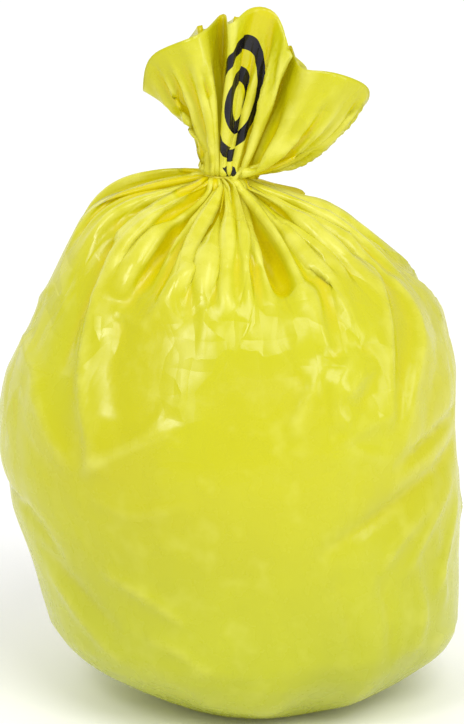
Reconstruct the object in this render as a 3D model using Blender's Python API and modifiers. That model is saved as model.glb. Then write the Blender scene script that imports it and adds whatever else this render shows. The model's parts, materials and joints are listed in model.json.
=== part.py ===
"""Filled clinical-waste sack, tied at a gathered neck, with its open mouth flared above the tie.

Metres, +Z up. The origin is on the floor, under the middle of the sack. -Y is the front.
The sack is one length of layflat tube: closed at the base by a star seal, pinched at the neck.
"""

from math import cos, pi, radians, sin

import bmesh
import bpy
from mathutils import Matrix, Vector

# The sack as it is sold: a 28 x 39 inch layflat tube, about 90 litres.
LAYFLAT_WIDTH = 0.711
GIRTH = 2 * LAYFLAT_WIDTH
FULL_RADIUS = GIRTH / (2 * pi)  # 0.2263, the fullest that the tube can stand

# Solid film is this thick here; the real film is 0.07 mm.
FILM = 0.0012
GAP = 0.0003

# The gathered neck is a ball joint of packed film: both neck hinges pass through its centre.
NECK = Vector((-0.0095, 0.0, 0.530))
GATHER_RADIUS = 0.0140
GATHER_PLEATS = 11
TIE_RADIUS = 0.0168
TIE_WIRE = 0.0016

# Height, centre x, centre y, half width and half depth of the filled body, from the floor up.
# The load leans to the right at the base and to the left at the belly.
BODY_STATIONS = [
    (0.000, 0.0225, 0.000, 0.095, 0.112),
    (0.012, 0.0310, 0.000, 0.132, 0.137),
    (0.040, 0.0245, 0.000, 0.178, 0.175),
    (0.078, 0.0205, 0.000, 0.207, 0.204),
    (0.150, 0.0125, 0.000, 0.213, 0.211),
    (0.250, -0.0015, 0.000, FULL_RADIUS - 0.002, 0.214),
    (0.330, 0.0030, 0.000, 0.221, 0.210),
    (0.385, 0.0100, 0.002, 0.202, 0.194),
    (0.433, 0.0025, 0.005, 0.174, 0.168),
    (0.470, -0.0185, 0.008, 0.136, 0.130),
    (0.498, -0.0360, 0.008, 0.098, 0.080),
    (0.512, -0.0095, 0.000, 0.0175, 0.0175),
]
BODY_STEPS = 2  # rings between two stations
BODY_SIDES = 40

# The welded end of the tube lies folded flat in a dimple under the base.
DIMPLE_RADIUS = 0.056
DIMPLE_DEPTH = 0.004
STAR_SEAL = (LAYFLAT_WIDTH / 8, 0.010, 0.0015)

# Rim of the mouth, seen from above and going round from the right (+X) by 45 degrees: x, y, z.
MOUTH_RIM = [
    (0.134, 0.000, 0.600),
    (0.074, 0.046, 0.632),
    (0.018, 0.058, 0.690),
    (-0.050, 0.046, 0.658),
    (-0.083, 0.000, 0.616),
    (-0.052, -0.044, 0.648),
    (0.020, -0.052, 0.668),
    (0.080, -0.048, 0.626),
]
MOUTH_SIDES = 40
MOUTH_ROWS = 8
MOUTH_ROOT_RADIUS = 0.0165
MOUTH_ROOT_RISE = 0.0130  # above the neck's centre
# Below 1, the film leaves the neck steeply and then opens out; above 1, it droops and then rises.
MOUTH_FLARE_LEFT = 0.6
MOUTH_FLARE_RIGHT = 1.4

# Loose waste in bundles: three at the bottom, three in the middle, two on top.
BUNDLE_LAYERS = [
    # count, first angle, distance from the axis, centre x, height, half size
    (3, 90, 0.101, 0.017, 0.100, (0.078, 0.074, 0.078)),
    (3, 30, 0.112, 0.003, 0.264, (0.089, 0.084, 0.078)),
    (2, 0, 0.079, -0.002, 0.403, (0.076, 0.108, 0.056)),
]
BUNDLE_ROUNDNESS = 0.6  # 0 is a box, 1 is a ball

# The twisted ends of the tie stand out behind the neck.
PIGTAIL_START = 0.0200
PIGTAIL_LENGTH = 0.034
PIGTAIL_RISE = radians(8)
PIGTAIL_TURNS = 4
PIGTAIL_HALF = (0.0017, 0.0010)


def clear_scene():
    for old in list(bpy.data.objects):
        bpy.data.objects.remove(old, do_unlink=True)


def plastic(name, color, roughness):
    material = bpy.data.materials.new(name)
    material.use_nodes = True
    shader = material.node_tree.nodes["Principled BSDF"]
    shader.inputs["Base Color"].default_value = (*color, 1.0)
    shader.inputs["Roughness"].default_value = roughness
    shader.inputs["Metallic"].default_value = 0.0
    return material


def add_object(name, mesh, material, collection):
    obj = bpy.data.objects.new(name, mesh)
    mesh.materials.append(material)
    mesh.shade_smooth()
    collection.objects.link(obj)
    return obj


def through_rows(rows, steps):
    """A smooth curve through rows of numbers, with the same number of steps between neighbours."""
    ends = [rows[0], *rows, rows[-1]]
    result = []
    for before, low, high, after in zip(ends, ends[1:], ends[2:], ends[3:]):
        for step in range(steps):
            t = step / steps
            result.append([
                0.5 * (2 * b + (c - a) * t + (2 * a - 5 * b + 4 * c - d) * t**2
                       + (3 * b - a - 3 * c + d) * t**3)
                for a, b, c, d in zip(before, low, high, after)
            ])
    result.append(list(rows[-1]))
    return result


def round_rows(rows, count):
    """The same smooth curve, closed: rows go round once, and count points come back."""
    result = []
    for index in range(count):
        place = index * len(rows) / count
        low = int(place)
        t = place - low
        a, b, c, d = (Vector(rows[(low + k) % len(rows)]) for k in (-1, 0, 1, 2))
        result.append(0.5 * (2 * b + (c - a) * t + (2 * a - 5 * b + 4 * c - d) * t**2
                             + (3 * b - a - 3 * c + d) * t**3))
    return result


def loft(name, rings, close_start=False, close_end=False):
    """A skin over rings of points, each ring counter-clockwise from above and going upwards."""
    mesh = bpy.data.meshes.new(name)
    bm = bmesh.new()
    rows = [[bm.verts.new(point) for point in ring] for ring in rings]
    for low, high in zip(rows, rows[1:]):
        for i in range(len(low)):
            j = (i + 1) % len(low)
            bm.faces.new((low[i], low[j], high[j], high[i]))
    for wanted, row, turn in ((close_start, rows[0], 1), (close_end, rows[-1], -1)):
        if wanted:
            middle = bm.verts.new(sum((v.co for v in row), Vector()) / len(row))
            for i in range(len(row)):
                j = (i + 1) % len(row)
                bm.faces.new((row[j], row[i], middle)[::turn])
    bm.normal_update()
    bm.to_mesh(mesh)
    bm.free()
    return mesh


def ellipse(centre, half_width, half_depth, sides):
    turn = 2 * pi / sides
    return [
        (centre[0] + half_width * cos(i * turn), centre[1] + half_depth * sin(i * turn), centre[2])
        for i in range(sides)
    ]


def solidify_inwards(obj):
    shell = obj.modifiers.new("film", "SOLIDIFY")
    shell.thickness = FILM
    shell.offset = -1.0
    shell.use_even_offset = True


def make_body_film(material, collection):
    """The filled body, open only where the neck's packed film comes out."""
    base_x = BODY_STATIONS[0][1]
    rings = [
        ellipse((base_x, 0, DIMPLE_DEPTH), radius, radius, BODY_SIDES)
        for radius in (DIMPLE_RADIUS * 0.5, DIMPLE_RADIUS * 0.93)
    ]
    rings.append(ellipse((base_x, 0, 0), DIMPLE_RADIUS, DIMPLE_RADIUS, BODY_SIDES))
    for z, x, y, half_width, half_depth in through_rows(BODY_STATIONS, BODY_STEPS):
        rings.append(ellipse((x, y, max(z, 0)), half_width, half_depth, BODY_SIDES))
    obj = add_object("body_film", loft("body_film", rings, close_start=True), material, collection)
    solidify_inwards(obj)
    return obj


def make_star_seal(material, collection):
    """The tube's welded end, folded flat under the base."""
    length, width, thickness = STAR_SEAL
    bpy.ops.mesh.primitive_cube_add(size=1)
    obj = bpy.context.object
    obj.name = obj.data.name = "star_seal"
    obj.data.transform(Matrix.Diagonal((length, width, thickness, 1)))
    obj.location = (BODY_STATIONS[0][1], 0, 2 * GAP + thickness / 2)
    obj.rotation_euler.z = radians(25)
    obj.data.materials.append(material)
    for owner in list(obj.users_collection):
        owner.objects.unlink(obj)
    collection.objects.link(obj)
    edge = obj.modifiers.new("edge", "BEVEL")
    edge.width = 0.0005
    edge.segments = 2
    return obj


def make_bundle(name, centre, half_size, turn, material, collection):
    """A slack bundle of soft waste."""
    mesh = bpy.data.meshes.new(name)
    bm = bmesh.new()
    bmesh.ops.create_cube(bm, size=2)
    bmesh.ops.subdivide_edges(bm, edges=bm.edges, cuts=2, use_grid_fill=True)
    for vert in bm.verts:
        x, y, z = vert.co.lerp(1.1 * vert.co.normalized(), BUNDLE_ROUNDNESS)
        slack = 1 - 0.07 * (cos(3 * x + turn) + sin(4 * y - turn) * cos(3 * z)) / 2
        vert.co = Vector((x * half_size[0], y * half_size[1], z * half_size[2])) * slack
    bm.to_mesh(mesh)
    bm.free()
    obj = add_object(name, mesh, material, collection)
    obj.location = centre
    obj.rotation_euler.z = turn
    soft = obj.modifiers.new("soft", "SUBSURF")
    soft.levels = soft.render_levels = 1
    return obj


def make_bundles(material, collection):
    number = 1
    for count, first, distance, centre_x, height, half_size in BUNDLE_LAYERS:
        for k in range(count):
            angle = radians(first) + 2 * pi * k / count
            centre = (centre_x + distance * cos(angle), distance * sin(angle), height)
            make_bundle(f"waste_bundle_{number}", centre, half_size, angle, material, collection)
            number += 1


def make_neck_gather(material, collection):
    """The film packed together inside the tie: a pleated ball about the neck's centre."""
    rings = []
    for row in range(1, 12):
        polar = pi * row / 12
        ring = []
        for i in range(4 * GATHER_PLEATS):
            angle = 2 * pi * i / (4 * GATHER_PLEATS)
            fold = 1 - 0.06 * sin(polar) * (1 + cos(GATHER_PLEATS * angle))
            radius = GATHER_RADIUS * sin(polar) * fold
            ring.append(NECK + Vector((
                radius * cos(angle), radius * sin(angle), -GATHER_RADIUS * cos(polar))))
        rings.append(ring)
    mesh = loft("neck_gather", rings, close_start=True, close_end=True)
    mesh.transform(Matrix.Translation(-NECK))
    obj = add_object("neck_gather", mesh, material, collection)
    obj.location = NECK
    return obj


def make_tie_loop(material, collection):
    """The wire tie drawn tight round the neck."""
    bpy.ops.mesh.primitive_torus_add(
        location=NECK, major_radius=TIE_RADIUS, minor_radius=TIE_WIRE,
        major_segments=32, minor_segments=8)
    obj = bpy.context.object
    obj.name = obj.data.name = "tie_loop"
    obj.data.materials.append(material)
    obj.data.shade_smooth()
    for owner in list(obj.users_collection):
        owner.objects.unlink(obj)
    collection.objects.link(obj)
    return obj


def make_tie_pigtail(material, collection):
    """The tie's two ends, twisted together behind the neck."""
    rows = 8 * PIGTAIL_TURNS
    rings = []
    for row in range(rows + 1):
        share = row / rows
        twist = 2 * pi * PIGTAIL_TURNS * share
        ring = []
        for i in range(10):
            angle = 2 * pi * i / 10
            across = Vector((PIGTAIL_HALF[0] * cos(angle), PIGTAIL_HALF[1] * sin(angle), 0))
            across.rotate(Matrix.Rotation(twist, 3, "Z"))
            ring.append(across + Vector((0, 0, share * PIGTAIL_LENGTH)))
        rings.append(ring)
    mesh = loft("tie_pigtail", rings, close_start=True, close_end=True)
    mesh.transform(Matrix.Rotation(PIGTAIL_RISE - pi / 2, 4, "X"))
    obj = add_object("tie_pigtail", mesh, material, collection)
    obj.location = NECK + Vector((0, PIGTAIL_START, 0))
    return obj


def make_mouth_film(material, collection):
    """The flared mouth: a ruffle with a high back and front and a lobe at each side."""
    rim = round_rows(MOUTH_RIM, MOUTH_SIDES)
    rings = []
    for row in range(MOUTH_ROWS + 1):
        share = row / MOUTH_ROWS
        ring = []
        for i, edge in enumerate(rim):
            angle = 2 * pi * i / MOUTH_SIDES
            root = NECK + Vector((
                MOUTH_ROOT_RADIUS * cos(angle), MOUTH_ROOT_RADIUS * sin(angle), MOUTH_ROOT_RISE))
            towards_right = (1 + cos(angle)) / 2
            flare = MOUTH_FLARE_LEFT + (MOUTH_FLARE_RIGHT - MOUTH_FLARE_LEFT) * towards_right
            rise = share**flare
            ring.append((
                root.x + (edge.x - root.x) * share,
                root.y + (edge.y - root.y) * share,
                root.z + (edge.z - root.z) * rise))
        rings.append(ring)
    mesh = loft("mouth_film", rings)
    mesh.transform(Matrix.Translation(-NECK))
    obj = add_object("mouth_film", mesh, material, collection)
    obj.location = NECK
    solidify_inwards(obj)
    return obj


def main():
    clear_scene()
    sack = bpy.data.collections.new("waste_sack")
    bpy.context.scene.collection.children.link(sack)

    make_body_film(plastic("body_film", (0.78, 0.71, 0.03), 0.25), sack)
    make_star_seal(plastic("star_seal", (0.72, 0.62, 0.02), 0.35), sack)
    make_bundles(plastic("waste_bundle", (0.55, 0.60, 0.58), 0.85), sack)
    make_neck_gather(plastic("neck_gather", (0.70, 0.58, 0.02), 0.35), sack)
    make_tie_loop(plastic("tie_loop", (0.66, 0.56, 0.03), 0.45), sack)
    make_tie_pigtail(plastic("tie_pigtail", (0.66, 0.56, 0.03), 0.45), sack)
    make_mouth_film(plastic("mouth_film", (0.62, 0.58, 0.03), 0.25), sack)


main()
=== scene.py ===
"""Looks of a filled clinical waste sack: one length of film, its tie, and the waste inside."""

import json
from math import cos, pi, radians, sin

import bmesh
import bpy
import numpy as np
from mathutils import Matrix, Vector, noise
from mathutils.bvhtree import BVHTree


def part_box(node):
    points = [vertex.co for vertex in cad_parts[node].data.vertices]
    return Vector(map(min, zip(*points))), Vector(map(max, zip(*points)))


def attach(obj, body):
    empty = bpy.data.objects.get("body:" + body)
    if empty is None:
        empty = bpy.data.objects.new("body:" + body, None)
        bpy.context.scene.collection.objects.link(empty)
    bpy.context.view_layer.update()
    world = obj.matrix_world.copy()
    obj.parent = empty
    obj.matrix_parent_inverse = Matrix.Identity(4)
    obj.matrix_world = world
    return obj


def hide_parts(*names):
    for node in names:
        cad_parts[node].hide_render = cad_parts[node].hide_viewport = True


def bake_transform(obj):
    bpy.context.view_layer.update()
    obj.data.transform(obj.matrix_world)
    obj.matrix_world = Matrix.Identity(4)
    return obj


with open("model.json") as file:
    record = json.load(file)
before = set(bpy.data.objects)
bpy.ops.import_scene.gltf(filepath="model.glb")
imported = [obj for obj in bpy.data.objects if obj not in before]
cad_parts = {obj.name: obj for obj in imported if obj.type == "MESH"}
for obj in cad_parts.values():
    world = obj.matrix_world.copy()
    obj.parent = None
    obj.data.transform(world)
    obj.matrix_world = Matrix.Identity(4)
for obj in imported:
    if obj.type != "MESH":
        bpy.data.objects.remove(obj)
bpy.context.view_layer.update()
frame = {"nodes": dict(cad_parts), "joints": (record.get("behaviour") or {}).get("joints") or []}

# ---------------------------------------------------------------- sizes taken from the frame
JOINTS = {joint["name"]: joint for joint in frame["joints"]}
NECK = np.array(JOINTS["neck_lean"]["pos_m"])
GIRTH = 2 * 0.711
LENGTH = 0.991
TIE_RADIUS = (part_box("tie_loop")[1].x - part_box("tie_loop")[0].x) / 2
ROOT_RADIUS = 0.8 * TIE_RADIUS  # the bundle of film in the tie
BODY_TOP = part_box("body_film")[1].z
BODY_MIDDLE = np.array([0.0, 0.0, 0.27])
SKIN = 0.004  # the film lies this far outside the CAD shell's inner wall

# ---------------------------------------------------------------- the film as it was cut
FILM_THICKNESS = 0.0004  # thicker than real film, so that it stays a clean solid
TIE_PATH = 0.822  # film from the middle of the base up to the tie
PLEATS = 15
PUFF_PATH = 0.010  # how far from the tie the film puffs out most
PUFF = 0.20  # and by what share of its distance from the middle of the neck

rng = np.random.default_rng(7)


def unit(vectors):
    return vectors / np.maximum(np.linalg.norm(vectors, axis=-1, keepdims=True), 1e-9)


def smooth(value, low, high):
    t = np.clip((value - low) / (high - low), 0, 1)
    return t * t * (3 - 2 * t)


# Soft bulges and hollows of the filled body: angle round it, height, spread, how far out.
LUMPS = [
    (150, 0.500, 0.060, 0.010), (0, 0.285, 0.035, -0.005), (350, 0.200, 0.070, 0.003),
    (300, 0.060, 0.050, -0.004), (250, 0.050, 0.045, 0.003), (230, 0.330, 0.060, 0.004),
    (205, 0.140, 0.060, -0.004), (270, 0.250, 0.080, 0.004), (320, 0.350, 0.050, -0.003),
    (335, 0.110, 0.050, 0.004), (190, 0.380, 0.050, 0.003), (60, 0.300, 0.070, 0.005),
    (110, 0.150, 0.070, -0.005), (30, 0.120, 0.060, 0.004), (140, 0.280, 0.060, 0.004),
    (216, 0.080, 0.045, 0.007), (246, 0.018, 0.030, -0.010), (262, 0.015, 0.030, 0.005),
    (281, 0.015, 0.030, 0.007), (299, 0.015, 0.025, -0.013), (312, 0.025, 0.030, 0.005),
    (325, 0.045, 0.030, -0.006), (345, 0.060, 0.040, 0.005), (20, 0.020, 0.035, -0.008),
    (75, 0.015, 0.035, -0.010), (100, 0.015, 0.035, 0.006), (140, 0.020, 0.035, -0.009),
    (186, 0.480, 0.080, 0.010), (184, 0.340, 0.120, 0.010), (188, 0.180, 0.080, 0.008),
    (0, 0.320, 0.110, 0.005), (350, 0.480, 0.070, 0.005), (352, 0.170, 0.080, 0.004),
]


class Envelope:
    """How far the filled body's skin is from the middle of the sack, in every direction."""

    COLUMNS = 96
    LIFTS = 91

    def __init__(self, node):
        mesh = node.data
        tree = BVHTree.FromPolygons([v.co for v in mesh.vertices],
                                    [tuple(p.vertices) for p in mesh.polygons])
        reach = np.zeros((self.LIFTS, self.COLUMNS))
        for row in range(self.LIFTS):
            lift = -pi / 2 + pi * row / (self.LIFTS - 1)
            for column in range(self.COLUMNS):
                turn = 2 * pi * column / self.COLUMNS
                ray = Vector((cos(lift) * cos(turn), cos(lift) * sin(turn), sin(lift)))
                hit = tree.ray_cast(Vector(BODY_MIDDLE), ray)[0]
                if hit is None:
                    reach[row, column] = (BODY_TOP - BODY_MIDDLE[2]) / max(sin(lift), 0.1)
                else:
                    reach[row, column] = (hit - Vector(BODY_MIDDLE)).length + SKIN
        self.reach = reach
        self.add_lumps()

    def add_lumps(self):
        lift = np.linspace(-pi / 2, pi / 2, self.LIFTS)[:, None]
        turn = 2 * pi * np.arange(self.COLUMNS) / self.COLUMNS
        spot = self.reach[..., None] * np.stack([np.cos(lift) * np.cos(turn), np.cos(lift) * np.sin(turn),
                                                 np.sin(lift) + 0 * turn], -1)
        for angle, height, spread, out in LUMPS:
            rise = height - BODY_MIDDLE[2]
            across = np.interp(rise, spot[:, 0, 2], np.linalg.norm(spot[:, 0, :2], axis=-1))
            centre = np.array([across * cos(radians(angle)), across * sin(radians(angle)), rise])
            gap = np.linalg.norm(spot - centre, axis=-1)
            self.reach += out * np.exp(-((gap / spread) ** 2))

    def __call__(self, points):
        """Distance from the middle, direction, and the skin's distance in that direction."""
        away = points - BODY_MIDDLE
        far = np.linalg.norm(away, axis=-1)
        ray = away / np.maximum(far, 1e-9)[..., None]
        row = (np.arcsin(np.clip(ray[..., 2], -1, 1)) + pi / 2) / pi * (self.LIFTS - 1)
        column = (np.arctan2(ray[..., 1], ray[..., 0]) % (2 * pi)) / (2 * pi) * self.COLUMNS
        low_row = np.clip(row.astype(int), 0, self.LIFTS - 2)
        low_column = column.astype(int) % self.COLUMNS
        high_column = (low_column + 1) % self.COLUMNS
        t = row - low_row
        u = column - column.astype(int)
        skin = ((1 - t) * (1 - u) * self.reach[low_row, low_column]
                + (1 - t) * u * self.reach[low_row, high_column]
                + t * (1 - u) * self.reach[low_row + 1, low_column]
                + t * u * self.reach[low_row + 1, high_column])
        return far, ray, skin


envelope = Envelope(frame["nodes"]["body_film"])


def meridian(turn, share):
    """Points up the body's skin at one angle round it, at the wanted shares of the way to the tie."""
    lifts = np.linspace(-pi / 2, pi / 2, 400)
    rays = np.stack([np.cos(lifts) * cos(turn), np.cos(lifts) * sin(turn), np.sin(lifts)], 1)
    skin = envelope(BODY_MIDDLE + rays)[2]
    line = BODY_MIDDLE + rays * skin[:, None]
    around_neck = np.hypot(line[:, 0] - NECK[0], line[:, 1] - NECK[1])
    line = line[(lifts < 0.8) | (around_neck > TIE_RADIUS)]
    top = NECK + ROOT_RADIUS * np.array([cos(turn), sin(turn), 0])
    line = np.vstack([line, top])
    steps = np.r_[0, np.cumsum(np.linalg.norm(np.diff(line, axis=0), axis=1))]
    wanted = share * steps[-1]
    return np.stack([np.interp(wanted, steps, line[:, k]) for k in range(3)], 1)


# Valleys between the pleats of the shoulder: angle at the tie, angle on the shoulder,
# depth beside the others, and how far down the film each one reaches.
VALLEYS = [
    (8, 4, 0.8, 0.56), (38, 30, 0.7, 0.60), (66, 66, 1.0, 0.57), (96, 88, 0.6, 0.62),
    (124, 124, 0.9, 0.57), (150, 143, 0.6, 0.62), (174, 174, 0.7, 0.60), (200, 211, 0.9, 0.56),
    (232, 234, 1.2, 0.61), (260, 262, 0.3, 0.66), (291, 291, 1.3, 0.62), (314, 306, 0.6, 0.58),
    (336, 343, 0.6, 0.60),
]
PLEAT_DEPTH = 0.018

# The rim of the mouth, going round it anticlockwise from above, with its deep folds. The front is one
# high panel with two folds in it, and the spare width is folded away behind.
MOUTH_RIM = [
    (0.136, -0.002, 0.618), (0.114, 0.012, 0.576), (0.090, 0.036, 0.592),
    (0.064, -0.004, 0.622), (0.074, 0.054, 0.622), (0.050, 0.060, 0.642),
    (0.034, 0.000, 0.670), (0.038, 0.064, 0.660), (0.014, 0.066, 0.666),
    (0.004, 0.000, 0.684), (-0.004, 0.066, 0.662), (-0.026, 0.062, 0.654),
    (-0.030, 0.000, 0.674), (-0.042, 0.058, 0.644), (-0.060, 0.048, 0.634),
    (-0.054, 0.000, 0.652), (-0.073, 0.030, 0.622), (-0.080, 0.004, 0.608),
    (-0.079, -0.016, 0.648), (-0.056, -0.030, 0.662), (-0.028, -0.032, 0.674),
    (-0.008, 0.020, 0.686), (-0.002, -0.034, 0.684), (0.020, -0.010, 0.706),
    (0.043, -0.004, 0.704), (0.054, -0.020, 0.652), (0.058, 0.026, 0.660),
    (0.068, -0.030, 0.643), (0.094, -0.032, 0.645), (0.120, -0.022, 0.634),
]


def spline(a, b, c, d, t):
    """A share t of the way from b to c, on a smooth curve through a, b, c and d."""
    return 0.5 * (2 * b + (c - a) * t + (2 * a - 5 * b + 4 * c - d) * t**2 + (3 * b - a - 3 * c + d) * t**3)


def closed_curve(knots, count):
    """A smooth closed curve through the knots, as evenly spaced points."""
    knots = np.array(knots)
    t = np.linspace(0, 1, 12, endpoint=False)[:, None]
    a, b, c, d = (np.roll(knots, shift, axis=0)[:, None] for shift in (1, 0, -1, -2))
    curve = spline(a, b, c, d, t).reshape(-1, 3)
    curve = np.vstack([curve, curve[:1]])
    along = np.r_[0, np.cumsum(np.linalg.norm(np.diff(curve, axis=0), axis=1))]
    wanted = np.arange(count) / count * along[-1]
    return np.stack([np.interp(wanted, along, curve[:, k]) for k in range(3)], 1)


def guide(columns, paths):
    """Where the film would lie if its spare width were simply taken up: rows by columns."""
    turns = 2 * pi * np.arange(columns) / columns
    grid = np.empty((len(paths), columns, 3))
    below = paths <= TIE_PATH
    for i, turn in enumerate(turns):
        grid[below, i] = meridian(turn, paths[below] / TIE_PATH)
    rim = closed_curve(MOUTH_RIM, columns)
    root = NECK + ROOT_RADIUS * np.stack([np.cos(turns), np.sin(turns), 0 * turns], 1)
    share = ((paths[~below] - TIE_PATH) / (LENGTH - TIE_PATH))[:, None]
    to_right = ((1 + np.cos(turns)) / 2) ** 2
    powers = (1.60 - 0.75 * to_right, 0.62, 0.80 + 1.2 * to_right)
    for axis in range(3):
        grid[~below, :, axis] = root[:, axis] + (rim - root)[:, axis] * share ** powers[axis]
    return grid


def pleat_wave(turns, paths):
    """Height of the pleats of the shoulder, from 0 on a ridge to -1 in a valley."""
    rows = np.array(VALLEYS, float)
    turns_deg = np.degrees(turns) % 360
    wave = np.zeros((len(paths), len(turns)))
    for j, path in enumerate(paths):
        near_tie = smooth(path, 0.66, TIE_PATH)
        centres = rows[:, 1] + (rows[:, 0] - rows[:, 1]) * near_tie
        order = np.argsort(centres)
        centres = centres[order]
        depth = rows[order, 2] * smooth(path, rows[order, 3], rows[order, 3] + 0.14)
        padded = np.r_[centres[-1] - 360, centres, centres[0] + 360]
        depths = np.r_[depth[-1], depth, depth[0]]
        high = np.searchsorted(padded, turns_deg, side="right")
        low = high - 1
        gap = (turns_deg - padded[low]) / (padded[high] - padded[low])
        nearest = np.where(gap < 0.5, low, high)
        away = 2 * np.minimum(gap, 1 - gap)
        wave[j] = -depths[nearest] * (0.5 + 0.5 * np.cos(pi * away)) ** 1.1
    return wave


MOMENTUM = 0.92
PUSH_SHARE = 0.42  # how much of the threads' pull is applied in one step
FLOOR_GAP = 0.0006


def tension(line, length, taut, slack):
    """The pull along threads of a given length, with different strengths when too long and too short."""
    size = np.linalg.norm(line, axis=-1, keepdims=True)
    error = size - length
    return np.where(error > 0, taut, slack) * error / np.maximum(size, 1e-9) * line


class Film:
    """A tube of film on a grid: rows along it, columns round it."""

    def __init__(self, columns, rows):
        self.columns = columns
        self.paths = np.linspace(0.02, LENGTH, rows)
        self.across = GIRTH / columns
        self.along = self.paths[1] - self.paths[0]
        self.tie_row = int(np.argmin(abs(self.paths - TIE_PATH)))
        self.turns = 2 * pi * np.arange(columns) / columns
        path = self.paths[:, None]
        over = np.clip((path - TIE_PATH) / (LENGTH - TIE_PATH), 0, 1)
        self.rest = self.pleated(guide(columns, self.paths))
        # how strongly the film resists being squeezed narrower, row by row
        body_firm = 0.25 + 0.35 * smooth(path, 0.16, 0.30) * (1 - smooth(path, 0.76, TIE_PATH))
        mouth_firm = 0.85 + 0.12 * smooth(over, 0.0, 0.3)
        self.firm = (0.03 + np.where(path <= TIE_PATH, body_firm, mouth_firm))[..., None]
        self.hold = np.where(path <= TIE_PATH, 0.003, 0.004 + 0.04 * smooth(over, 0.5, 1.0))
        self.stiff = np.where(path <= TIE_PATH, 4.0 - 3.0 * smooth(path, 0.60, 0.72), 1.6)[..., None]
        # room for folds inside and outside the skin of the body
        self.depth_in = 0.006 + 0.006 * smooth(path, 0.46, 0.56) + 0.026 * smooth(path, 0.62, 0.74)
        self.depth_out = 0.003 + 0.006 * smooth(path, 0.46, 0.62)
        self.neck = self.rosette()

    def pleated(self, grid):
        path = self.paths[:, None]
        ray = envelope(grid)[1]
        wave = pleat_wave(self.turns, self.paths)
        shrink = 1 - smooth(path, 0.76, TIE_PATH)
        fine = np.cos(21 * self.turns + 4.0 * np.sin(2 * self.turns + 1.0) + 2.0 * np.sin(5 * self.turns))
        wave = PLEAT_DEPTH * wave + 0.003 * fine * smooth(path, 0.62, 0.74)
        wave = np.where(path <= TIE_PATH, wave * shrink, 0)
        return grid + wave[..., None] * ray

    def rosette(self):
        """The film packed inside the tie, as a star of folds."""
        fold = 0.5 + 0.5 * np.cos(2 * PLEATS * self.turns)
        radius = TIE_RADIUS * (0.35 + 0.42 * fold)
        return NECK + np.stack([radius * np.cos(self.turns), radius * np.sin(self.turns),
                                0 * self.turns], 1)

    def relax(self, points, rounds, bend, guide_pull):
        """Lets the film settle: it hardly stretches, resists bending and lies on the filled body."""
        rest_cross = np.hypot(self.across, self.along)
        before = points.copy()
        path = self.paths[:, None]
        on_body = path <= TIE_PATH
        neck_zone = np.where(on_body, smooth(path, TIE_PATH - 0.05, TIE_PATH - 0.02), 0)
        bend_u = bend * self.stiff
        for _ in range(rounds):
            speed = (points - before) * MOMENTUM
            before = points
            points = points + speed

            # threads round the film, up the film and across each cell both ways
            push = np.zeros_like(points)
            pull = tension(np.roll(points, -1, axis=1) - points, self.across, 1.0, self.firm)
            push += 0.5 * pull - 0.5 * np.roll(pull, 1, axis=1)
            pull = tension(points[1:] - points[:-1], self.along, 1.0, 0.5)
            push[:-1] += 0.5 * pull
            push[1:] -= 0.5 * pull
            for shift in (-1, 1):
                other = np.roll(points, shift, axis=1)
                pull = tension(other[1:] - points[:-1], rest_cross, 0.7, 0.3 * self.firm[:-1])
                push[:-1] += 0.35 * pull
                push[1:] -= 0.35 * np.roll(pull, -shift, axis=1)
            points = points + PUSH_SHARE * push

            middle = 0.5 * (np.roll(points, 1, axis=1) + np.roll(points, -1, axis=1))
            points = points + bend_u * (middle - points)
            middle = 0.5 * (points[2:] + points[:-2])
            points[1:-1] += bend_u[1:-1] * (middle - points[1:-1])

            points = points + guide_pull * self.hold[..., None] * (self.rest - points)

            far, ray, skin = envelope(points)
            want = np.clip(far, skin - self.depth_in, skin + self.depth_out)
            body_fix = np.where(on_body, (want - far) * (1 - neck_zone),
                                np.maximum(skin + SKIN - far, 0))
            points = points + body_fix[..., None] * ray
            points[..., 2] = np.maximum(points[..., 2], FLOOR_GAP)
            points[self.tie_row] = self.neck
        return points

    def finer(self, points, columns, rows, unevenness):
        """The same film on a finer grid, with a little unevenness to start its small folds."""
        film = Film(columns, rows)
        wider = np.empty((points.shape[0], columns, 3))
        step = columns // self.columns
        before, after = np.roll(points, 1, axis=1), np.roll(points, -1, axis=1)
        beyond = np.roll(points, -2, axis=1)
        for k in range(step):
            wider[:, k::step] = spline(before, points, after, beyond, k / step)
        place = np.interp(film.paths, self.paths, np.arange(len(self.paths)))
        low = np.clip(place.astype(int), 0, len(self.paths) - 2)
        t = (place - low)[:, None, None]
        result = wider[low] * (1 - t) + wider[low + 1] * t
        return film, result + unevenness * rng.normal(size=result.shape)


def normals(points):
    """Unit normals of the grid, pointing out of the sack."""
    around = np.roll(points, -1, axis=1) - np.roll(points, 1, axis=1)
    along = np.gradient(points, axis=0)
    return unit(np.cross(around, along))


def spot_on(film, points, turn, path):
    """The place of one spot of the film, given by its angle round the tube and its path from the base."""
    column = turn / 360 * film.columns
    row = np.interp(path, film.paths, np.arange(len(film.paths)))
    low_row = min(int(row), len(film.paths) - 2)
    low_column = int(np.floor(column))
    t = row - low_row
    u = column - low_column
    near, far = low_column % film.columns, (low_column + 1) % film.columns
    return ((1 - t) * ((1 - u) * points[low_row, near] + u * points[low_row, far])
            + t * ((1 - u) * points[low_row + 1, near] + u * points[low_row + 1, far]))


def bowed(knots, steps=4):
    """A smooth open curve through the knots."""
    knots = np.array(knots, float)
    if len(knots) < 3:
        return knots
    ends = np.vstack([2 * knots[0] - knots[1], knots, 2 * knots[-1] - knots[-2]])
    a, b, c, d = (ends[k : len(knots) - 1 + k, None] for k in range(4))
    t = np.arange(steps)[:, None] / steps
    return np.vstack([spline(a, b, c, d, t).reshape(-1, 2), knots[-1:]])


PANEL = 0.035  # how far the gentle side of a fold reaches


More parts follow.
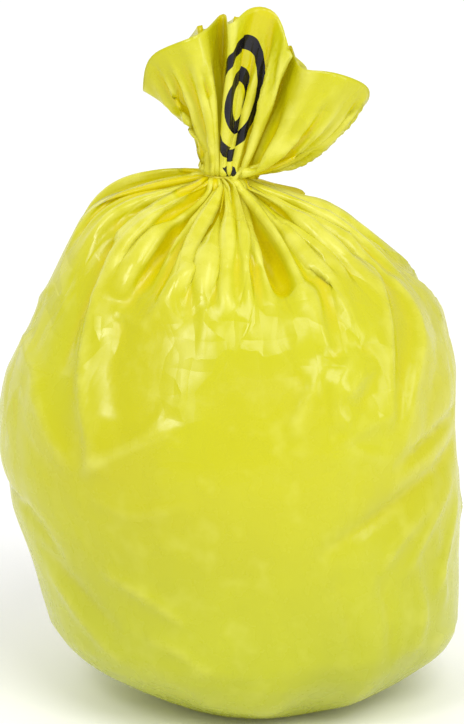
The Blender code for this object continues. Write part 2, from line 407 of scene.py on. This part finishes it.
def crease_height(film, points, line, height, width, broad=0):
    """A sharp crest along a line on the film, which fades towards the line's two ends.

    With broad, the film slopes away gently on that side, as the flat panel beside a fold does:
    1 is the side of growing angle, -1 the other.
    """
    spots = np.array([spot_on(film, points, turn, path) for turn, path in bowed(line)])
    lengths = np.linalg.norm(np.diff(spots, axis=0), axis=1)
    starts = np.r_[0, np.cumsum(lengths)]
    margin = PANEL if broad else 4 * width
    low, high = spots.min(0) - margin, spots.max(0) + margin
    inside = np.all((points > low) & (points < high), axis=-1)
    cloud = points[inside]
    nearest = np.full(len(cloud), np.inf)
    share = np.zeros(len(cloud))
    side = np.zeros(len(cloud))
    onward = np.stack([BODY_MIDDLE[1] - cloud[:, 1], cloud[:, 0] - BODY_MIDDLE[0]], 1)
    for start, end, length, done in zip(spots[:-1], spots[1:], lengths, starts):
        along = end - start
        t = np.clip((cloud - start) @ along / (along @ along), 0, 1)
        off = cloud - (start + t[:, None] * along)
        gap = np.linalg.norm(off, axis=-1)
        closer = gap < nearest
        nearest[closer] = gap[closer]
        share[closer] = (done + t[closer] * length) / starts[-1]
        side[closer] = np.sign((off[closer, :2] * onward[closer]).sum(1))
    rise = np.zeros(points.shape[:2])
    fade = np.sqrt(np.sin(pi * np.clip(share, 0.001, 0.999)))
    sharp = np.exp(-nearest / width)
    gentle = np.clip(1 - nearest / PANEL, 0, 1)
    rise[inside] = height * fade * np.where(side * broad > 0, gentle, sharp)
    return rise


# Folds that stand out on the front: height, width, gentle side and the line along the film (angle, path).
FOLDS = [
    (0.0090, 0.007, 1, [(200, 0.73), (215, 0.68), (218, 0.62), (223, 0.55), (231, 0.48), (231, 0.44)]),
    (-0.0060, 0.012, 0, [(202, 0.71), (212, 0.66), (212, 0.60), (215, 0.53)]),
    (0.0070, 0.006, -1, [(225, 0.74), (229, 0.70), (229, 0.63)]),
    (-0.0060, 0.014, 0, [(228, 0.75), (235, 0.70), (237, 0.64)]),
    (0.0070, 0.006, 1, [(254, 0.76), (257, 0.70), (247, 0.66), (241, 0.61)]),
    (0.0030, 0.005, 0, [(227, 0.615), (241, 0.608)]),
    (0.0040, 0.005, -1, [(258, 0.71), (266, 0.66), (274, 0.62)]),
    (0.0032, 0.008, 0, [(176, 0.57), (190, 0.60)]),
    (0.0060, 0.007, -1, [(182, 0.54), (201, 0.53), (214, 0.49), (228, 0.44)]),
    (0.0070, 0.006, -1, [(289, 0.79), (284, 0.76), (284, 0.69)]),
    (-0.0080, 0.016, 0, [(293, 0.77), (291, 0.71), (292, 0.65)]),
    (0.0080, 0.006, 1, [(319, 0.76), (310, 0.72), (309, 0.65), (312, 0.58)]),
    (0.0060, 0.006, -1, [(304, 0.66), (300, 0.62), (299, 0.58)]),
    (0.0050, 0.010, 1, [(326, 0.75), (320, 0.68), (322, 0.62)]),
    (0.0070, 0.006, -1, [(352, 0.74), (342, 0.68), (329, 0.62), (320, 0.56), (315, 0.49)]),
    (0.0070, 0.006, 1, [(344, 0.64), (337, 0.58), (325, 0.53), (319, 0.47)]),
    (0.0040, 0.005, 1, [(297, 0.545), (309, 0.58)]),
    (0.0045, 0.005, 1, [(298, 0.55), (298, 0.50)]),
    (0.0040, 0.005, -1, [(314, 0.56), (302, 0.53)]),
    (0.0036, 0.007, 0, [(317, 0.51), (301, 0.49), (314, 0.46)]),
    (0.0050, 0.006, 1, [(297, 0.58), (291, 0.54), (284, 0.50)]),
    (-0.0075, 0.0080, 0, [(352, 0.48), (335, 0.47), (316, 0.45)]),
    (-0.0067, 0.0104, 0, [(348, 0.445), (325, 0.425), (306, 0.40), (292, 0.375)]),
    (0.0042, 0.0064, 0, [(345, 0.42), (330, 0.385), (318, 0.34)]),
    (0.0037, 0.0064, 0, [(334, 0.41), (318, 0.38), (308, 0.34)]),
    (0.0037, 0.0064, 0, [(350, 0.40), (340, 0.36), (330, 0.31)]),
    (-0.0033, 0.0088, 0, [(350, 0.455), (336, 0.43)]),
    (-0.0045, 0.0088, 0, [(177, 0.38), (203, 0.37), (217, 0.33)]),
    (0.0048, 0.0072, 0, [(228, 0.44), (238, 0.47), (256, 0.51)]),
    (0.0025, 0.0096, 0, [(232, 0.42), (244, 0.41), (260, 0.435)]),
    (0.0051, 0.0064, 0, [(232, 0.342), (245, 0.325), (258, 0.30)]),
    (0.0045, 0.0072, 0, [(205, 0.31), (218, 0.285), (236, 0.24)]),
    (-0.0039, 0.0072, 0, [(203, 0.335), (220, 0.31), (236, 0.275)]),
    (0.0036, 0.0072, 0, [(245, 0.28), (254, 0.272), (264, 0.25)]),
    (-0.0036, 0.0072, 0, [(297, 0.36), (301, 0.31), (304, 0.26)]),
    (-0.0036, 0.0072, 0, [(309, 0.365), (314, 0.31), (316, 0.25)]),
    (0.0033, 0.0072, 0, [(322, 0.36), (326, 0.31), (325, 0.26)]),
    (0.0030, 0.0080, 0, [(334, 0.35), (337, 0.30)]),
]
FOLD_SCALE = 1.3
BACK_MIRROR = 705  # a fold at some angle of the front is repeated behind, at this less that angle
BACK_SCALE = 0.8

# Small creases at random: how many, between which paths, how long, how high, how wide, how slanted.
CRINKLES = [
    (90, (0.50, 0.76), (0.02, 0.06), 0.0016, 0.0045, 0.5),
    (60, (0.18, 0.52), (0.03, 0.10), 0.0013, 0.0060, 0.8),
    (60, (0.89, 0.98), (0.015, 0.04), 0.0012, 0.0035, 0.6),
]


def crinkle(film, points, count, paths, lengths, height, width, slant):
    """Many small creases at random, running mostly up the film."""
    rise = np.zeros(points.shape[:2])
    for _ in range(count):
        turn = rng.uniform(0, 360)
        path = rng.uniform(*paths)
        length = rng.uniform(*lengths)
        lean = rng.normal(0, slant)
        bow = rng.normal(0, 0.2)
        per_metre = 360 / GIRTH
        middle = (turn + bow * length * per_metre * 0.5, path)
        low = (turn - sin(lean) * length / 2 * per_metre, path - cos(lean) * length / 2)
        high = (turn + sin(lean) * length / 2 * per_metre, path + cos(lean) * length / 2)
        tall = rng.uniform(0.5, 1.0) * height * rng.choice([-1, 1])
        line = [(low[0], max(low[1], 0.03)), middle, (high[0], min(high[1], LENGTH - 0.01))]
        rise += crease_height(film, points, line, tall, width * rng.uniform(0.7, 1.3))
    return rise


EASE_ROUNDS = 12


def smoothed_shoulder(film, points):
    """Eases out steps along the shoulder's pleats, so that each runs on as one long ridge."""
    ease = 0.5 * smooth(film.paths, 0.60, 0.66) * (1 - smooth(film.paths, 0.77, 0.81))
    points = points.copy()
    for _ in range(EASE_ROUNDS):
        between = 0.5 * (points[2:] + points[:-2])
        points[1:-1] += ease[1:-1, None, None] * (between - points[1:-1])
    return points


# The wedge in which the pigtail bends, seen from a point just inside the tie. Body film stays under
# its lower side and mouth film over its upper side, both in degrees. Away from it and to its left and
# right the film goes back to its own shape, between the two distances given.
PIGTAIL_ROOT = NECK + np.array([0, 0.014, 0])
PIGTAIL_LOW = -27
PIGTAIL_HIGH = 35
PIGTAIL_REACH = (0.042, 0.056)
PIGTAIL_SIDE = (0.006, 0.016)


def clear_of_pigtail(film, points):
    """Moves the film up or down out of the space in which the tie's twisted ends bend."""
    off = points - PIGTAIL_ROOT
    reach = np.hypot(off[..., 1], off[..., 2])
    lift = np.degrees(np.arctan2(off[..., 2], off[..., 1]))
    edge = np.where(film.paths < TIE_PATH, PIGTAIL_LOW, PIGTAIL_HIGH)[:, None]
    inside = (lift > PIGTAIL_LOW) & (lift < PIGTAIL_HIGH)
    near = inside * (1 - smooth(reach, *PIGTAIL_REACH)) * (1 - smooth(abs(off[..., 0]), *PIGTAIL_SIDE))
    turned = np.radians(lift + near * (edge - lift))
    points = points.copy()
    points[..., 1] = PIGTAIL_ROOT[1] + reach * np.cos(turned)
    points[..., 2] = PIGTAIL_ROOT[2] + reach * np.sin(turned)
    return points


def crumple(film, points):
    """Adds the creases of thin film to the settled shape."""
    points = smoothed_shoulder(film, points)
    rise = np.zeros(points.shape[:2])
    for height, width, broad, line in FOLDS:
        rise += crease_height(film, points, line, FOLD_SCALE * height, width, broad)
        behind = [(BACK_MIRROR - turn, path - 0.01) for turn, path in line]
        rise += crease_height(film, points, behind, BACK_SCALE * FOLD_SCALE * height, width, -broad)
    for row in CRINKLES:
        rise += crinkle(film, points, *row)
    off_tie = abs(film.paths - TIE_PATH)
    free = smooth(off_tie, 0.045, 0.11)[:, None]
    points = points + (rise * free)[..., None] * normals(points)
    # the film puffs out on either side of the tie and nearly hides it
    puff = PUFF * np.exp(-(((off_tie - PUFF_PATH) / (0.6 * PUFF_PATH)) ** 2)) * (off_tie > 0.001)
    points[..., :2] += puff[:, None, None] * (points[..., :2] - NECK[:2])
    return clear_of_pigtail(film, points)


# The film's grids, coarse to fine: columns, rows, unevenness, rounds, resistance to bending, pull
# towards the guide.
LEVELS = [
    (64, 47, 0.0010, 250, 0.01, 1.0),
    (128, 93, 0.0005, 350, 0.03, 0.6),
    (256, 181, 0.0001, 400, 0.05, 0.3),
]


def settle_film():
    """The film's shape, found on a coarse grid first and then on finer ones."""
    columns, rows, unevenness, rounds, bend, guide_pull = LEVELS[0]
    film = Film(columns, rows)
    points = film.rest + unevenness * rng.normal(size=film.rest.shape)
    points = film.relax(points, rounds, bend, guide_pull)
    finer_levels = LEVELS[1:]
    for columns, rows, unevenness, rounds, bend, guide_pull in finer_levels:
        film, points = film.finer(points, columns, rows, unevenness)
        points = film.relax(points, rounds, bend, guide_pull)
    return film, points


def grid_mesh(name, points):
    rows, columns = points.shape[:2]
    mesh = bpy.data.meshes.new(name)
    index = np.arange(rows * columns).reshape(rows, columns)
    after = np.roll(index, -1, axis=1)
    faces = np.stack([index[:-1], after[:-1], after[1:], index[1:]], -1).reshape(-1, 4)
    mesh.from_pydata(points.reshape(-1, 3).tolist(), [], faces.tolist())
    mesh.shade_smooth()
    obj = bpy.data.objects.new(name, mesh)
    bpy.context.scene.collection.objects.link(obj)
    return obj


def add_attribute(piece, name, kind, values):
    store = piece.data.attributes.new(name, kind, "POINT")
    entry = "vector" if kind == "FLOAT_VECTOR" else "value"
    store.data.foreach_set(entry, values.reshape(-1).astype(np.float32))


def grid_piece(name, film, points, rows):
    """A stretch of the film as an object that knows where each spot was on the flat tube."""
    piece = grid_mesh(name, points[rows])
    turns = np.broadcast_to(film.turns, points[rows].shape[:2])
    paths = np.broadcast_to(film.paths[rows][:, None], turns.shape)
    radius = GIRTH / (2 * pi)
    place = np.stack([radius * np.cos(turns), radius * np.sin(turns), paths], -1)
    add_attribute(piece, "film_place", "FLOAT_VECTOR", place)
    add_attribute(piece, "film_bend", "FLOAT", bend_of(points)[rows])
    return piece


def bend_of(points):
    """How sharply the film is bent: above 0 on crests, below 0 in valleys, about 1 at a hard crease."""
    outward = normals(points)
    bend = np.zeros(points.shape[:2])
    for reach in (1, 2):
        left, right = np.roll(points, reach, axis=1), np.roll(points, -reach, axis=1)
        low, high = np.roll(points, reach, axis=0), np.roll(points, -reach, axis=0)
        off_around = points - 0.5 * (left + right)
        off_along = points - 0.5 * (low + high)
        size = np.linalg.norm(right - left, axis=-1) + 1e-4
        bend += (off_around * outward).sum(-1) / size
        off_along[:reach] = 0
        off_along[-reach:] = 0
        bend += (off_along * outward).sum(-1) / (2 * reach * LENGTH / len(points))
    for _ in range(2):
        bend = 0.5 * bend + 0.25 * (np.roll(bend, 1, axis=1) + np.roll(bend, -1, axis=1))
        bend[1:-1] = 0.5 * bend[1:-1] + 0.25 * (bend[2:] + bend[:-2])
    return np.clip(2.5 * bend, -1, 1)


# ---------------------------------------------------------------- materials
class Nodes:
    """A short way to write a material's nodes."""

    def __init__(self, name):
        self.material = bpy.data.materials.new(name)
        self.material.use_nodes = True
        self.tree = self.material.node_tree
        self.shader = self.tree.nodes["Principled BSDF"]

    def add(self, kind, **values):
        node = self.tree.nodes.new("ShaderNode" + kind)
        for key, value in values.items():
            setattr(node, key, value)
        return node

    def put(self, socket, value):
        if isinstance(value, bpy.types.NodeSocket):
            self.tree.links.new(value, socket)
        else:
            socket.default_value = value

    def shade(self, name, value):
        """Sets one of the shader's own values."""
        self.put(self.shader.inputs[name], value)

    def math(self, operation, a, b=0.0):
        node = self.add("Math", operation=operation)
        self.put(node.inputs[0], a)
        self.put(node.inputs[1], b)
        return node.outputs[0]

    def split(self, vector):
        node = self.add("SeparateXYZ")
        self.put(node.inputs[0], vector)
        return node.outputs

    def noise(self, place, scale, detail=3.0, stretch=(1, 1, 1), distortion=0.0):
        mapping = self.add("Mapping")
        self.put(mapping.inputs["Vector"], place)
        mapping.inputs["Scale"].default_value = stretch
        node = self.add("TexNoise")
        self.put(node.inputs["Vector"], mapping.outputs[0])
        node.inputs["Scale"].default_value = scale
        node.inputs["Detail"].default_value = detail
        node.inputs["Distortion"].default_value = distortion
        return node.outputs["Fac"]

    def noise_colour(self, place, scale):
        node = self.add("TexNoise")
        self.put(node.inputs["Vector"], place)
        node.inputs["Scale"].default_value = scale
        return node.outputs["Color"]

    def span(self, value, low, high, to_low=0.0, to_high=1.0):
        node = self.add("MapRange")
        for socket, number in zip(node.inputs, (value, low, high, to_low, to_high)):
            self.put(socket, number)
        return node.outputs[0]

    def mix(self, factor, a, b):
        node = self.add("Mix", data_type="RGBA")
        self.put(node.inputs[0], factor)
        for socket, colour in ((node.inputs[6], a), (node.inputs[7], b)):
            self.put(socket, colour if isinstance(colour, bpy.types.NodeSocket) else (*colour, 1))
        return node.outputs[2]

    def bump(self, height, distance, strength=1.0, below=None):
        node = self.add("Bump")
        self.put(node.inputs["Height"], height)
        node.inputs["Distance"].default_value = distance
        node.inputs["Strength"].default_value = strength
        if below is not None:
            self.put(node.inputs["Normal"], below)
        return node.outputs[0]


PRINT_TURN = radians(286)  # the middle of the printed mark, round the tube
PRINT_PATH = 0.905
PRINT_RADIUS = 0.056
PRINT_LINE = 0.013
BAR_PITCH = 0.026
BAR_HEIGHT = 0.014
BARS_BELOW = 0.072  # from the middle of the rings down to the middle of the bars
BARS_HALF = 0.075


def printed_mark(nodes, place):
    """1 inside the black mark: two plain rings, with a row of slanted bars below them."""
    turn_vector = nodes.add("VectorRotate", rotation_type="Z_AXIS")
    nodes.put(turn_vector.inputs["Vector"], place)
    turn_vector.inputs["Angle"].default_value = -PRINT_TURN
    x, y, z = nodes.split(turn_vector.outputs[0])
    across = nodes.math("MULTIPLY", nodes.math("ARCTAN2", y, x), GIRTH / (2 * pi))
    up = nodes.math("SUBTRACT", z, PRINT_PATH)
    squares = nodes.math("ADD", nodes.math("POWER", across, 2.0), nodes.math("POWER", up, 2.0))
    far = nodes.math("SQRT", squares)
    rings = []
    for radius in (PRINT_RADIUS, 0.5 * PRINT_RADIUS):
        off_ring = nodes.math("ABSOLUTE", nodes.math("SUBTRACT", far, radius))
        rings.append(nodes.math("LESS_THAN", off_ring, PRINT_LINE / 2))
    slanted = nodes.math("ADD", across, nodes.math("MULTIPLY", up, 0.5))
    stripe = nodes.math("PINGPONG", nodes.math("ADD", slanted, 1.0), BAR_PITCH / 2)
    bars = nodes.math("LESS_THAN", stripe, BAR_PITCH / 4)
    off_bars = nodes.math("ABSOLUTE", nodes.math("ADD", up, BARS_BELOW))
    below = nodes.math("LESS_THAN", off_bars, BAR_HEIGHT / 2)
    beside = nodes.math("LESS_THAN", nodes.math("ABSOLUTE", across), BARS_HALF)
    bars = nodes.math("MULTIPLY", bars, nodes.math("MULTIPLY", below, beside))
    return nodes.math("MAXIMUM", bars, nodes.math("MAXIMUM", *rings))


LOW_YELLOWS = (0.385, 0.430, 0.022), (0.45, 0.485, 0.018)
HIGH_YELLOWS = (0.495, 0.475, 0.004), (0.515, 0.510, 0.007)
# the colour of the painted shade low on the right of the film
PAINTED_SHADE_YELLOW = (0.36, 0.385, 0.020)
PALE_YELLOW = (0.80, 0.80, 0.20)
# the colour of the painted highlight on crests of the film
PAINTED_HIGHLIGHT_CREST_YELLOW = (0.76, 0.75, 0.16)
# the colour of the painted shade in valleys of the film
PAINTED_SHADE_VALLEY_YELLOW = (0.62, 0.52, 0.0)
INK = (0.006, 0.005, 0.008)
# colours of the painted glow that stands in for light coming through the film
PAINTED_GLOW_FAR = (0.20, 0.20, 0.0)
PAINTED_GLOW_TIE = (0.90, 0.72, 0.0)


def film_colour(nodes, around, path, broad, fine):
    """Yellow, greener where the waste shows through low down, with painted shade low on the right, a
    painted highlight paling the creases and painted shade warming the valleys.
    """
    patch = nodes.span(broad, 0.35, 0.65)
    low_colour = nodes.mix(patch, *LOW_YELLOWS)
    high_colour = nodes.mix(patch, *HIGH_YELLOWS)
    lower = nodes.span(path, 0.45, 0.16)
    colour = nodes.mix(lower, high_colour, low_colour)
    # painted shade: the film is darkened low down on its right side
    painted_shade_low_right = nodes.math("MULTIPLY", lower, nodes.span(around, 0.02, 0.20, 0.0, 0.5))
    colour = nodes.mix(painted_shade_low_right, colour, PAINTED_SHADE_YELLOW)
    pale = nodes.span(fine, 0.56, 0.80, 0.0, 0.16)
    colour = nodes.mix(pale, colour, PALE_YELLOW)
    bend = nodes.add("Attribute", attribute_name="film_bend").outputs["Fac"]
    patchy = nodes.span(fine, 0.35, 0.60, 0.3, 1.0)
    # painted highlight: crests of the film are paled, with a little of the whitening of creased film
    crest = nodes.math("MULTIPLY", nodes.span(bend, 0.12, 0.80, 0.0, 0.45), patchy)
    colour = nodes.mix(crest, colour, PAINTED_HIGHLIGHT_CREST_YELLOW)
    # painted shade: valleys of the film get a deeper, warmer yellow, most on the upper film
    upper = nodes.span(path, 0.50, 0.64, 0.2, 1.0)
    valley = nodes.math("MULTIPLY", nodes.span(bend, -0.05, -0.60, 0.0, 0.7), upper)
    return nodes.mix(valley, colour, PAINTED_SHADE_VALLEY_YELLOW)


def film_relief(nodes, place, path, off_tie, broad):
    """The film's small wrinkles: facets above, soft dents below, and fine pleats at the tie."""
    bent = nodes.add("MixRGB", blend_type="ADD")
    bent.inputs[0].default_value = 0.05
    nodes.put(bent.inputs[1], place)
    nodes.put(bent.inputs[2], nodes.noise_colour(place, 9.0))
    facets = nodes.add("TexVoronoi", distance="MANHATTAN")
    nodes.put(facets.inputs["Vector"], bent.outputs[0])
    facets.inputs["Scale"].default_value = 17.0
    upper = nodes.math("MULTIPLY", nodes.span(path, 0.30, 0.60), nodes.span(broad, 0.40, 0.60, 0.25, 1.0))
    normal = nodes.bump(nodes.math("MULTIPLY", facets.outputs["Distance"], upper), 0.010, 0.42)
    normal = nodes.bump(nodes.noise(place, 10.0, 2.0), 0.010, 0.20, normal)
    halfway = nodes.math("SUBTRACT", nodes.noise(place, 13.0, 1.0, (1, 1, 0.45), 0.9), 0.5)
    creased = nodes.math("MINIMUM", nodes.math("ABSOLUTE", halfway), 0.05)
    crushed = nodes.math("MULTIPLY", creased, nodes.span(path, 0.52, 0.68))
    normal = nodes.bump(crushed, 0.040, 0.25, normal)
    pleats = nodes.noise(place, 95.0, 2.0, (1, 1, 0.06), 0.2)
    gathered = nodes.span(off_tie, 0.20, 0.02)
    normal = nodes.bump(nodes.math("MULTIPLY", pleats, gathered), 0.0030, 0.5, normal)
    wrinkles = nodes.noise(place, 26.0, 5.0, (1, 1, 0.45), 1.2)
    normal = nodes.bump(wrinkles, 0.0020, 0.14, normal)
    streaks = nodes.noise(place, 60.0, 2.0, (1, 1, 0.06))
    return nodes.bump(streaks, 0.0004, 0.20, normal)


def film_material():
    nodes = Nodes("yellow_film")
    place = nodes.add("Attribute", attribute_name="film_place").outputs["Vector"]
    around, _, path = nodes.split(place)
    off_tie = nodes.math("ABSOLUTE", nodes.math("SUBTRACT", path, TIE_PATH))
    broad = nodes.noise(place, 7.0, 2.0)
    fine = nodes.noise(place, 38.0, 4.0)
    mark = printed_mark(nodes, place)
    colour = film_colour(nodes, around, path, broad, fine)
    nodes.shade("Base Color", nodes.mix(mark, colour, INK))
    # painted glow: the film gives off light of its own, standing in for light that comes through the thin
    # film, most of it near the tie
    painted_glow = nodes.mix(nodes.span(off_tie, 0.24, 0.03), PAINTED_GLOW_FAR, PAINTED_GLOW_TIE)
    nodes.shade("Emission Color", nodes.mix(mark, painted_glow, (0, 0, 0)))
    nodes.shade("Emission Strength", 0.14)
    nodes.shade("Roughness", nodes.span(fine, 0.3, 0.7, 0.18, 0.36))
    nodes.shade("Specular IOR Level", 0.38)
    nodes.shade("Normal", film_relief(nodes, place, path, off_tie, broad))
    return nodes.material


def seal_material():
    """The welded end under the base: the same film, several layers thick and pressed flat."""
    nodes = Nodes("welded_film")
    place = nodes.add("TexCoord").outputs["Object"]
    tone = nodes.noise(place, 60.0)
    patch = nodes.span(tone, 0.35, 0.65)
    nodes.shade("Base Color", nodes.mix(patch, (0.50, 0.45, 0.005), (0.60, 0.56, 0.012)))
    nodes.shade("Roughness", nodes.span(tone, 0.3, 0.7, 0.28, 0.45))
    nodes.shade("Normal", nodes.bump(nodes.noise(place, 180.0, 4.0), 0.0008))
    return nodes.material


def tie_material():
    """Thin plastic over a wire, faintly ribbed by the wire's twist."""
    nodes = Nodes("tie_plastic")
    place = nodes.add("TexCoord").outputs["Object"]
    tone = nodes.noise(place, 240.0)
    patch = nodes.span(tone, 0.35, 0.65)
    nodes.shade("Base Color", nodes.mix(patch, (0.60, 0.52, 0.010), (0.72, 0.66, 0.030)))
    nodes.shade("Roughness", nodes.span(tone, 0.3, 0.7, 0.32, 0.48))
    nodes.shade("Normal", nodes.bump(nodes.noise(place, 500.0), 0.0003))
    return nodes.material


def waste_material():
    """Wadded paper towel: off-white, matt and fibrous."""
    nodes = Nodes("wadded_towel")
    place = nodes.add("TexCoord").outputs["Object"]
    tone = nodes.noise(place, 30.0, 5.0)
    fibres = nodes.noise(place, 260.0, 4.0)
    nodes.shade("Base Color", nodes.mix(nodes.span(tone, 0.3, 0.7), (0.62, 0.66, 0.68), (0.82, 0.83, 0.80)))
    nodes.shade("Roughness", nodes.span(fibres, 0.3, 0.7, 0.75, 0.95))
    normal = nodes.bump(tone, 0.004)
    nodes.shade("Normal", nodes.bump(fibres, 0.0005, 0.6, normal))
    return nodes.material


def dress(node, material):
    for slot in frame["nodes"][node].material_slots:
        slot.material = material


# ---------------------------------------------------------------- the waste inside
WAD_GAP = 0.004  # how far a wad shrinks from its CAD solid, to stay clear of the film
WAD_RIDGES = 0.022


def wad(node, material):
    """A bundle of waste: a crumpled pad of the size of its CAD solid."""
    piece = frame["nodes"][node].copy()
    piece.data = piece.data.copy()
    piece.name = node.replace("waste_bundle", "waste_wad")
    bpy.context.scene.collection.objects.link(piece)
    shape = bmesh.new()
    shape.from_mesh(piece.data)
    bmesh.ops.subdivide_edges(shape, edges=shape.edges[:], cuts=1, use_grid_fill=True, smooth=0.5)
    shape.normal_update()
    for vert in shape.verts:
        ridges = abs(noise.noise(vert.co * 28)) + 0.5 * abs(noise.noise(vert.co * 60))
        vert.co -= vert.normal * (WAD_GAP + WAD_RIDGES * ridges)
    shape.to_mesh(piece.data)
    shape.free()
    piece.data.shade_smooth()
    piece.data.materials.clear()
    piece.data.materials.append(material)
    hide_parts(node)
    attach(piece, "bag")


def thicken(obj, thickness):
    shell = obj.modifiers.new("film", "SOLIDIFY")
    shell.thickness = thickness
    shell.offset = -1
    bpy.context.view_layer.objects.active = obj
    obj.select_set(True)
    bpy.ops.object.modifier_apply(modifier=shell.name)
    obj.select_set(False)


film, points = settle_film()
points = crumple(film, points)
row = film.tie_row

body = grid_piece("film_body", film, points, slice(0, row + 1))
mouth = grid_piece("film_mouth", film, points, slice(row, None))
yellow = film_material()
for piece in (body, mouth):
    piece.data.materials.append(yellow)
    thicken(piece, FILM_THICKNESS)

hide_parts("body_film", "neck_gather")
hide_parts("mouth_film")
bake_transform(body)
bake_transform(mouth)

towel = waste_material()
for name in sorted(frame["nodes"]):
    if name.startswith("waste_bundle"):
        wad(name, towel)
dress("star_seal", seal_material())
tie_plastic = tie_material()
dress("tie_loop", tie_plastic)
dress("tie_pigtail", tie_plastic)


# ---------------------------------------------------------------- floor, light and camera
def add_area(name, place, target, size, power):
    light = bpy.data.lights.new(name, "AREA")
    light.shape = "RECTANGLE"
    light.size, light.size_y = size
    light.energy = power
    obj = bpy.data.objects.new(name, light)
    obj.location = place
    obj.rotation_euler = (Vector(target) - Vector(place)).to_track_quat("-Z", "Y").to_euler()
    bpy.context.scene.collection.objects.link(obj)


def floor_material():
    nodes = Nodes("pale_floor")
    tone = nodes.noise(nodes.add("TexCoord").outputs["Object"], 3.0)
    nodes.shade("Base Color", nodes.mix(tone, (0.965, 0.965, 0.965), (0.975, 0.975, 0.975)))
    nodes.shade("Roughness", 0.9)
    return nodes.material


def add_sun(name, toward, power, softness):
    """A soft light from far off, in the given direction from the sack."""
    light = bpy.data.lights.new(name, "SUN")
    light.energy = power
    light.angle = radians(softness)
    obj = bpy.data.objects.new(name, light)
    obj.rotation_euler = Vector(toward).to_track_quat("Z", "Y").to_euler()
    bpy.context.scene.collection.objects.link(obj)


def add_stage():
    bpy.ops.mesh.primitive_plane_add(size=12)
    floor = bpy.context.object
    floor.name = "floor"
    floor.data.materials.append(floor_material())
    world = bpy.data.worlds.new("studio")
    world.use_nodes = True
    world.node_tree.nodes["Background"].inputs["Color"].default_value = (1, 1, 1, 1)
    world.node_tree.nodes["Background"].inputs["Strength"].default_value = 0.72
    bpy.context.scene.world = world
    bpy.context.scene.view_settings.view_transform = "Standard"


CAMERA_LIFT = radians(16)
CAMERA_DISTANCE = 5.0
LENS_PER_METRE = 50.2  # keeps the sack's size in the picture whatever the distance
CAMERA_TARGET = Vector((0.0, 0.0, 0.338))


def add_camera():
    data = bpy.data.cameras.new("camera")
    data.lens = LENS_PER_METRE * CAMERA_DISTANCE
    data.sensor_width = 36
    data.dof.use_dof = False
    camera = bpy.data.objects.new("camera", data)
    away = Vector((0, -cos(CAMERA_LIFT), sin(CAMERA_LIFT)))
    camera.location = CAMERA_TARGET + CAMERA_DISTANCE * away
    camera.rotation_euler = (-away).to_track_quat("-Z", "Y").to_euler()
    bpy.context.scene.collection.objects.link(camera)
    bpy.context.scene.camera = camera


add_stage()
add_camera()
add_sun("sun", (0.28, -0.58, 0.77), 1.05, 30)
add_sun("back", (-0.50, 0.75, 0.60), 0.55, 60)
add_area("key", (-0.9, -1.6, 1.7), (0, 0, 0.3), (0.5, 0.5), 10)
add_area("side", (1.5, -0.9, 1.0), (0, 0, 0.3), (0.3, 1.2), 6)
